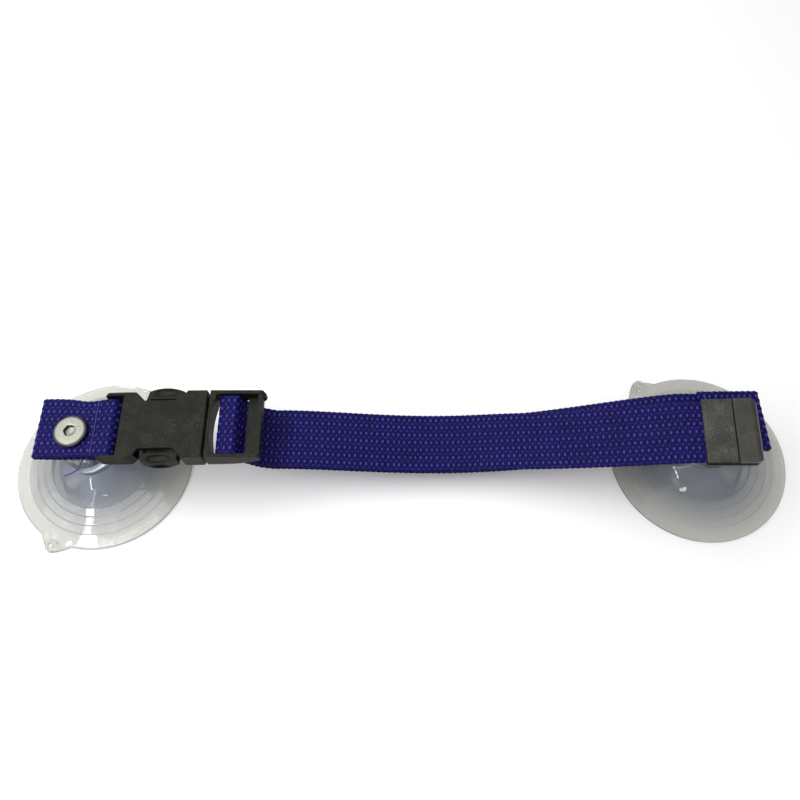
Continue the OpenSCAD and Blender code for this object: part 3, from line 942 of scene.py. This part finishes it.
@dataclass
class Run:
    """One stretch of webbing: where its middle goes and how it is woven in.

    Attributes:
        name: The piece's name.
        path: Its middle line as (x, z) points, in millimetres.
        sideways: Gives the middle's Y at an X.
        start_mm: How far along the whole webbing it starts, so that the weave carries on.
        pinch: Gives how far the far and near selvedges are drawn in at an X.
        closed: True for a loop.
        step_mm: The mesh's step along it.
        across_steps: How many points its width has.
        sunk_mm: How far the skin lies inside the webbing's thickness, which its relief fills.
        proud_mm: How far each selvedge stands outside half the width.
        selvedge_mm: The width over which a selvedge rounds off.
        scallop_mm: How far the weft's turns swell a selvedge, every pick_mm.
    """

    name: str
    path: Sequence[Point]
    sideways: Callable[[float], float] = lambda x: STRAP_Y
    start_mm: float = 0.0
    pinch: Callable[[float], Point] = lambda x: (0.0, 0.0)
    closed: bool = False
    step_mm: float = 0.34
    across_steps: int = 64
    sunk_mm: float = 0.12
    proud_mm: float = 0.2
    selvedge_mm: float = 0.8
    scallop_mm: float = 0.11
    pick_mm: float = 2.3

    def __post_init__(self) -> None:
        """Spaces the path evenly."""
        points = np.asarray(self.path, float)
        if self.closed:
            points = np.vstack([points, points[:1]])
        keep = np.r_[True, np.linalg.norm(np.diff(points, axis=0), axis=1) > 1e-6]
        points = points[keep]
        gone = np.r_[0, np.cumsum(np.linalg.norm(np.diff(points, axis=0), axis=1))]
        self.length_mm = float(gone[-1])
        count = max(8, round(self.length_mm / self.step_mm))
        at = np.linspace(0, self.length_mm, count + 1)
        if self.closed:
            at = at[:-1]
        self.at = at
        self.x = np.interp(at, gone, points[:, 0])
        self.z = np.interp(at, gone, points[:, 1])
        if self.closed:
            tx = np.roll(self.x, -1) - np.roll(self.x, 1)
            tz = np.roll(self.z, -1) - np.roll(self.z, 1)
        else:
            tx, tz = np.gradient(self.x), np.gradient(self.z)
        size = np.hypot(tx, tz)
        self.nx, self.nz = -tz / size, tx / size

    def build(self, relief: GeometryTree, finish: Finish) -> Piece:
        """Makes the band, weaves it and closes its ends.

        Args:
            relief: The weave's tree.
            finish: The webbing's finish.

        Returns:
            The piece.
        """
        half_t = WEB_T / 2 - self.sunk_mm
        n = self.across_steps
        # The section: one face, a rounded selvedge, the other face and its selvedge
        spread = np.linspace(-1, 1, n)
        section = [(float(v), 1.0) for v in spread] + [(float(v), -1.0) for v in spread[::-1]]
        vertices, along, across, gain = [], [], [], []
        for i, s in enumerate(self.at):
            phase = self.start_mm + s
            far, near = self.pinch(float(self.x[i]))
            scallop = self.scallop_mm * math.cos(2 * math.pi * phase / self.pick_mm)
            half_w = WEB_W / 2 + self.proud_mm + scallop
            middle = self.sideways(float(self.x[i]))
            for v, side in section:
                edge = (1 - abs(v)) * half_w
                inset = 1 - min(1.0, edge / self.selvedge_mm)
                lift = max(half_t * math.sqrt(max(0.0, 1 - inset**2)), self.sunk_mm)
                vertices.append(
                    (
                        self.x[i] + self.nx[i] * lift * side,
                        middle + v * half_w - v * abs(v) * (far if v > 0 else near),
                        self.z[i] + self.nz[i] * lift * side,
                    )
                )
                along.append(phase)
                across.append(v * half_w)
                gain.append(min(1.0, 0.35 + edge / 1.2))
        ring, rows = len(section), len(self.at)
        last = rows if self.closed else rows - 1
        faces = []
        for i in range(last):
            here, there = i * ring, (i + 1) % rows * ring
            for k in range(ring):
                j = (k + 1) % ring
                faces.append([here + k, here + j, there + j, there + k])
        piece = make_object(self.name, vertices, faces, finish)
        for title, values in (("along_mm", along), ("across_mm", across), ("gain", gain)):
            made = piece.data.attributes.new(title, "FLOAT", "POINT")
            made.data.foreach_set("value", values)
        edit_mesh(piece, lambda solid: bmesh.ops.recalc_face_normals(solid, faces=solid.faces))
        if not self.closed and not self.faces_out(piece):
            piece.data.flip_normals()
        relief.run(piece, finish)
        if not self.closed:
            self.cap(piece, ring)
        outward(piece)
        return piece

    @staticmethod
    def faces_out(piece: Piece) -> bool:
        """Whether an open band's faces look away from its middle.

        Args:
            piece: The band.

        Returns:
            True where they do.
        """
        top = piece.data.polygons[len(piece.data.polygons) // 2]
        row = [v.co for v in piece.data.vertices]
        middle = sum((row[i] for i in top.vertices), Vector()) / len(top.vertices)
        near = sum((Vector(c) for c in row), Vector()) / len(row)
        return (middle - near).dot(top.normal) > 0 or abs(top.normal.z) < 0.2

    @staticmethod
    def cap(piece: Piece, ring: int) -> None:
        """Closes both ends with a strip of faces from one side to the other.

        Args:
            piece: The band.
            ring: How many points each of its rows has.
        """

        def change(solid: bmesh.types.BMesh) -> None:
            """Adds the flat faces."""
            solid.verts.ensure_lookup_table()
            for first in (0, len(solid.verts) - ring):
                for k in range(ring // 2 - 1):
                    corners = [first + k, first + k + 1, first + ring - 2 - k, first + ring - 1 - k]
                    solid.faces.new([solid.verts[c] for c in corners]).smooth = False
            for edge in solid.edges:
                if any(not f.smooth for f in edge.link_faces):
                    edge.smooth = False

        edit_mesh(piece, change)


def tail_z(x: float) -> float:
    """Height of the tail's middle, which lies on the main run and climbs into the end clip."""
    end_z = CLIP_FLOOR_Z + TAIL_LIFT / math.cos(CLIP_SLOPE)
    if x > CLIP_X:
        return end_z + (x - CLIP_X) * math.tan(CLIP_SLOPE)
    t = max(0.0, (x - CLIP_X) / CLIMB_L + 1)
    return main_z(x) + STACK_Z + (end_z - LOW_PLY_Z - STACK_Z) * t * t


def tail_y(x: float) -> float:
    """Y of the tail's middle, which drifts towards the front at its end."""
    t = max(0.0, x - VEER_X)
    return STRAP_Y - math.tan(TAIL_SKEW) * (t * t / (2 * VEER_L) if t < VEER_L else t - VEER_L / 2)


class Webbing:
    """The blue webbing: a tab round the socket's bar, and one long strip from the right cup to the clip."""

    def __init__(self) -> None:
        """Makes the weave's tree."""
        self.relief = woven_relief()

    def left_tab(self) -> None:
        """The short loop that joins the socket to the left cup."""
        loop = arc(-143.15, 34.8, 0.9, 90, 270)
        loop += arc(-116, 33.55, 2.15, -129.6, 90, 40)

        def pinch(x: float) -> Point:
            """The seam draws the selvedges in beside the neck."""
            dip = math.exp(-(((x + 125.5) / 6.5) ** 2))
            return 1.3 * dip, 0.3 * dip

        tab = Run("left_tab_band", loop, pinch=pinch, closed=True).build(self.relief, WEBBING)
        settle(tab, Slot.WEBBING, "left_tab", "left_tab_webbing")

    def strip(self) -> None:
        """The right end's fold, the main run, the turn through the plug and the tail."""
        fold = [(120, HIGH_PLY_Z), *arc(143.15, 34.8, 0.9, 90, -90), (112, LOW_PLY_Z)]
        span = [(float(x), main_z(float(x))) for x in np.linspace(FOLD_X, PLUG_X, 400)]
        turn = catmull([(-52, 19.9), (-57, 21.9), (-61, 25.5), (-65, 29.5), (-69.0, 32.75)])
        turn += arc(-69.9, 35.05, 2.3, 265, 95, 40)
        turn += arc(-66.4, 35.8, 1.55, 90, -10, 30)
        turn += catmull([(-62.2, 30.5), (-59.2, 26.4), (-56, 24.1), (-52, 22.1)])
        end_x = CLIP_X + TAIL_SEAT * math.cos(CLIP_SLOPE)
        back = [(float(x), tail_z(float(x))) for x in np.linspace(PLUG_X, end_x, 500)]
        gone = 0.0
        made = []
        for name, path, sideways in (
            ("right_end_band", fold, lambda x: STRAP_Y),
            ("main_run_band", span, lambda x: STRAP_Y),
            ("plug_turn_band", turn, lambda x: STRAP_Y),
            ("tail_band", back, tail_y),
        ):
            run = Run(name, path, sideways, start_mm=gone)
            made.append((run.build(self.relief, WEBBING), run.length_mm))
            gone += run.length_mm
        (end, end_l), (main_run, main_l), (wrap, wrap_l), (tail, tail_l) = made
        settle(end, Slot.WEBBING, "right_end", "right_end_webbing")
        settle(wrap, Slot.WEBBING, "buckle_plug", "strap_bar_wrap")
        for piece, node, other, finish_x in (
            (main_run, "strap_main", "right_end", 0.112),
            (tail, "strap_tail", "tail_end", 0.117),
        ):
            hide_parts(node)
            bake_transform(piece)

    def stitches(self) -> None:
        """The row of stitches beside each screw."""
        tree = stitch_row()
        for name, x, body, node, seed in (
            ("left_stitch_row", LEFT_SEAM_X, "left_tab", "left_tab_stitching", 3),
            ("right_stitch_row", RIGHT_SEAM_X, "right_end", "right_end_stitching", 8),
        ):
            first = (x, STRAP_Y + STITCH_START, HIGH_PLY_Z + WEB_T / 2 + 0.02)
            row = make_object(name, [first], [], THREAD)
            tree.run(row, THREAD, Count=7, Pitch=STITCH_PITCH * MM, Seed=seed)
            settle(outward(row), Slot.THREAD, body, node)

    def loose_thread(self) -> None:
        """The end of the seam's thread, which curls out from under the left tab."""
        start, radius = Vector((-125.4, -9.2, 32.75)), 0.28
        steps = [
            (0, 0, 0), (-0.4, -2.2, -0.2), (-1.6, -3.9, -1.1),
            (-3.3, -4.9, -2.2), (-5.5, -5.6, -3.2), (-8, -6.2, -4),
        ]
        flat = catmull([(x, y) for x, y, _ in steps], 8)
        tall = catmull([(x, z) for x, _, z in steps], 8)
        middle = [start + Vector((x, y, z)) for (x, y), (_, z) in zip(flat, tall)]
        vertices, faces, ring = [], [], 10
        for i, p in enumerate(middle):
            way = (middle[min(i + 1, len(middle) - 1)] - middle[max(i - 1, 0)]).normalized()
            side = way.cross(Vector((0, 0, 1))).normalized()
            up = side.cross(way)
            for k in range(ring):
                t = 2 * math.pi * k / ring
                vertices.append(tuple(p + (side * math.cos(t) + up * math.sin(t)) * radius))
            if i:
                a, b = (i - 1) * ring, i * ring
                faces += [[a + k, a + (k + 1) % ring, b + (k + 1) % ring, b + k] for k in range(ring)]
        faces += [list(range(ring))[::-1], list(range(len(vertices) - ring, len(vertices)))]
        piece = outward(make_object("loose_thread", vertices, faces, THREAD))
        settle(piece, Slot.THREAD, "left_tab", "left_loose_thread")


# ---- cups and screws


@dataclass
class SuctionCup:
    """A clear suction cup with its threaded insert and the screw that holds the webbing to it."""

    side: str
    x: float
    tab_degrees: float
    radius: float = 38.1
    turns: int = 288

    def outline(self) -> list[Point]:
        """The half section, from the pocket's floor out and round to the hollow's middle."""
        pocket = [(0, 18), (5, 18), (5, 33)]
        top = rounded([(5, 33, 0), (10, 33, 0.8), (10, 14.4, 0)])
        fillet = arc(11.4, 14.4, 1.4, 180, 245, 10)
        steps = rounded(
            [
                (10.81, 13.13, 0), (16.65, 10.1, 3.5), (21.4, 5.4, 0.25), (21.7, 4.8, 0.2), (24.93, 4.33, 0.2),
                (25.23, 3.73, 0.2), (28.47, 3.27, 0.2), (28.77, 2.67, 0.2), (32.0, 2.2, 0.2), (32.3, 1.6, 0.2),
                (37.2, 1.3, 0.3), (37.7, 1.45, 0.2), (38.1, 1.0, 0.3), (38.1, 0.25, 0.3), (37.6, 0, 0.3),
                (32.9, 0, 1.5), (19.3, 2.8, 4.0), (9, 9.8, 3.0), (0, 10.6, 0),
            ],
            4,
        )
        return [*pocket, *top[1:], *fillet[1:], *steps[1:]]

    def edge(self, degrees: float) -> float:
        """The lip's radius at an angle from the pull tab's middle."""
        corners = rounded([(36, 7.8, 0), (37.9, 7, 0.8), (41.9, 2.4, 1.6), (42.9, 0, 0)], 6)
        angles = [math.degrees(math.atan2(y, x)) for x, y in corners][::-1]
        radii = [math.hypot(x, y) for x, y in corners][::-1]
        return max(self.radius, float(np.interp(abs(degrees), angles, radii)))

    def body(self) -> Piece:
        """The moulded cup with its pull tab and the tab's ring boss."""
        middle = math.radians(self.tab_degrees)
        fine = np.linspace(-13, 13, 53)
        coarse = np.linspace(13, 347, self.turns - 52)[1:-1]
        turns = [middle + math.radians(float(t)) for t in [*fine, *coarse]]

        def stretch(r: float, z: float, t: float) -> float:
            """Draws the lip out where the pull tab is."""
            if z > 1.5 or r < 35:
                return r
            off = math.degrees(math.remainder(t - middle, 2 * math.pi))
            return r + (self.edge(off) - self.radius) * (r - 35) / (self.radius - 35)

        vinyl = ClearVinyl(f"clear moulded vinyl, {self.side}", (self.x, 0.0))
        cup = make_object(
            f"{self.side}_clear_cup", *lathe(self.outline(), (self.x, 0, 0), turns, stretch), vinyl
        )
        outward(cup)
        tip = (self.x + 40.0 * math.cos(middle), 40.0 * math.sin(middle), 0)
        ring = [(0, 0.7, 0), (2.5, 0.7, 0), (2.5, 2.9, 0.4), (1.4, 2.9, 0.3), (1.4, 1.6, 0.2), (0, 1.6, 0)]
        boss = make_object("boss", *lathe(rounded(ring, 4), tip, full_turn(48)), vinyl)
        outward(boss)
        combine(cup, boss, "UNION")
        crease_by_angle(cup, 50)
        return cup

    def screw(self, finish: Finish) -> Piece:
        """The flat-headed screw, with a bevelled rim and a hexagon socket."""
        top = HEAD_Z + 2.2
        outline = rounded(
            [
                (0, top - 1.95, 0), (1.0, top - 1.8, 0.2), (2.0, top - 1.7, 0.2), (2.06, top - 0.2, 0.2),
                (2.5, top - 0.02, 0.15), (2.75, top, 0.1), (5.75, top, 0.4), (6.5, top - 0.62, 0.25),
                (6.55, HEAD_Z + 0.45, 0.3), (6.1, HEAD_Z, 0.2), (3.0, HEAD_Z, 0.1), (3.0, HEAD_Z - 15.4, 0.5),
                (2.5, HEAD_Z - 16, 0.2), (0, HEAD_Z - 16, 0),
            ],
            4,
        )

        def stretch(r: float, z: float, t: float) -> float:
            """Draws the socket's rings out to a hexagon."""
            if z < top - 1.9 or r > 2.7:
                return r
            off = math.remainder(t - math.pi / 6, math.pi / 3)
            hexagon = 2.0 / math.cos(off)
            share = min(1.0, max(0.0, (2.7 - r) / 0.6)) * min(1.0, r / 2.0)
            return r + (hexagon * min(r, 2.06) / 2.0 - r) * share

        made = lathe(outline, (self.x, 0, 0), full_turn(144), stretch)
        piece = outward(make_object(f"{self.side}_zinc_screw", *made, finish))
        crease_by_angle(piece, 34)
        return piece

    def build(self) -> None:
        """Makes the cup, its insert and its screw."""
        settle(self.body(), Slot.CLEAR_PVC, f"{self.side}_cup", f"{self.side}_suction_cup")
        metal = ZincPlate(f"turned insert, {self.side}", (self.x, 0.0), bright="#8b909c", dull="#666b78")
        insert = eased_copy(f"{self.side}_cup_insert", f"{self.side}_turned_insert", metal, 0.2)
        settle(insert, Slot.INSERT, f"{self.side}_cup", f"{self.side}_cup_insert")
        plate = ZincPlate(f"zinc plated steel, {self.side}", (self.x, 0.0))
        screw = self.screw(plate)
        owner = next(b for b, e in frame["bodies"].items() if frame["nodes"][f"{self.side}_screw"].parent == e)
        settle(screw, Slot.ZINC, owner, f"{self.side}_screw")


# ---- plastic parts


class Hardware:
    """The side-release buckle and the hinged end clip."""

    # The middle of the finger pads' dishes and their half sizes
    dish_x, dish_y, dish_z = -94.4, 14.1, 37.25
    dish_size = (5.0, 1.75, 1.15)

    parts = (
        ("buckle_socket", "socket_moulding", "buckle_socket", Slot.BUCKLE, ACETAL, 0.4),
        ("buckle_plug", "plug_moulding", "buckle_plug", Slot.BUCKLE, ACETAL, 0.3),
        ("latch_arm_near", "near_latch_moulding", "latch_near", Slot.BUCKLE, ACETAL, 0.3),
        ("latch_arm_far", "far_latch_moulding", "latch_far", Slot.BUCKLE, ACETAL, 0.3),
        ("end_clip_base", "clip_base_moulding", "tail_end", Slot.CLIP, CLIP_SMOOTH, 0.5),
        ("end_clip_lid", "clip_lid_moulding", "clip_lid", Slot.CLIP, CLIP_FINISH, 0.5),
    )

    def build(self) -> None:
        """Makes the six mouldings."""
        for node, name, body, slot, finish, ease in self.parts:
            piece = eased_copy(node, name, finish, ease)
            if node.startswith("latch_arm"):
                self.dish(piece, 1 if node.endswith("far") else -1)
            settle(piece, slot, body, node)

    def dish(self, piece: Piece, side: int) -> None:
        """Hollows the finger pad's upper face with a shallow oval.

        Args:
            piece: The latch arm.
            side: 1 for the far arm, -1 for the near one.
        """
        solid = bmesh.new()
        place = Matrix.Translation(Vector((self.dish_x, STRAP_Y + side * self.dish_y, self.dish_z)) * MM)
        size = Matrix.Diagonal((*(r * MM for r in self.dish_size), 1.0))
        bmesh.ops.create_uvsphere(solid, u_segments=48, v_segments=24, radius=1.0, matrix=place @ size)
        mesh = bpy.data.meshes.new("dish")
        solid.to_mesh(mesh)
        solid.free()
        mesh.materials.append(ACETAL.material())
        combine(piece, linked("dish", mesh), "DIFFERENCE")


# ---- studio


class Studio:
    """A pale floor, soft boxes and the camera."""

    floor_size = 6.0

    def __init__(self) -> None:
        """Makes the camera, the world, the floor and the lights."""
        scene = bpy.context.scene
        scene.view_settings.view_transform = "Standard"
        self.camera()
        self.world()
        self.floor()
        side, strip = (-0.45, 0.2, 0.9), (-0.432, -0.218, 0.6)
        self.light("soft box to the left", side, (*side[:2], 0.0), (1.1, 1.1), 8.5)
        self.light("strip over the left cup", strip, (*strip[:2], 0.0), (0.035, 0.85), 1.9, -7.0)
        self.light("small box to the front left", (-0.12, -0.55, 0.3), (0.12, 0.0, 0.0), (0.1, 0.02), 0.08)

    def camera(self) -> None:
        """Sets the camera above the front, looking down at the strap."""
        data = bpy.data.cameras.new("camera")
        data.sensor_width = 36
        data.lens = 31.58
        data.clip_start = 0.01
        data.dof.use_dof = False
        made = linked("camera", data)
        down, roll = math.radians(64.866), math.radians(0.659)
        look = Vector((0, math.cos(down), -math.sin(down)))
        level = Vector((1, 0, 0))
        fall = Vector((0, -math.sin(down), -math.cos(down)))
        right = level * math.cos(roll) + fall * math.sin(roll)
        up = right.cross(look)
        turn = Matrix((right, up, -look)).transposed().to_4x4()
        made.matrix_world = Matrix.Translation((-0.0003, -0.1075, 0.2923)) @ turn
        bpy.context.scene.camera = made

    def world(self) -> None:
        """Lights the scene from a bright ceiling."""
        made = bpy.data.worlds.new("studio")
        made.use_nodes = True
        nodes = Nodes(made.node_tree)
        way = nodes.add("ShaderNodeTexCoord").outputs["Generated"]
        rise = nodes.add("ShaderNodeSeparateXYZ", {0: way}).outputs["Z"]
        # A bright ceiling over darker walls gives clear plastic its dark outlines
        glow = nodes.ramp(rise, {0.05: "#5c5c60", 0.75: "#ffffff"})
        nodes.feed(nodes.tree.nodes["Background"], {"Color": glow, "Strength": 0.72})
        bpy.context.scene.world = made

    def floor(self) -> None:
        """Lays a plain pale floor."""
        half = self.floor_size / 2 / MM
        corners = [(-half, -half, 0), (half, -half, 0), (half, half, 0), (-half, half, 0)]
        made = make_object("floor", corners, [(0, 1, 2, 3)], MattPaint("matt white paint"))
        made.location.z = -0.0002

    def light(
        self,
        name: str,
        place: Spot,
        target: Spot,
        size: Point,
        watts: float,
        turn: float = 0.0,
    ) -> None:
        """Hangs a soft box.

        Args:
            name: The light's name.
            place: Where it hangs, in metres.
            target: The point that it faces.
            size: Its width and height, in metres.
            watts: Its power.
            turn: Its turn about the way it faces, in degrees.
        """
        data = bpy.data.lights.new(name, "AREA")
        data.shape = "RECTANGLE"
        data.size, data.size_y = size
        data.energy = watts
        made = linked(name, data)
        made.location = place
        way = Vector(target) - Vector(place)
        spin = Matrix.Rotation(math.radians(turn), 3, "Z").to_quaternion()
        made.rotation_euler = (way.to_track_quat("-Z", "Y") @ spin).to_euler()


def main() -> None:
    """Builds the visual model over the frame."""
    logging.basicConfig(level=logging.INFO, format="%(name)s: %(message)s")
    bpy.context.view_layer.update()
    Studio()
    webbing = Webbing()
    webbing.left_tab()
    webbing.strip()
    webbing.stitches()
    webbing.loose_thread()
    SuctionCup("left", LEFT_X, -114.0).build()
    SuctionCup("right", RIGHT_X, 121.0).build()
    Hardware().build()


if __name__ == "__main__":
    main()
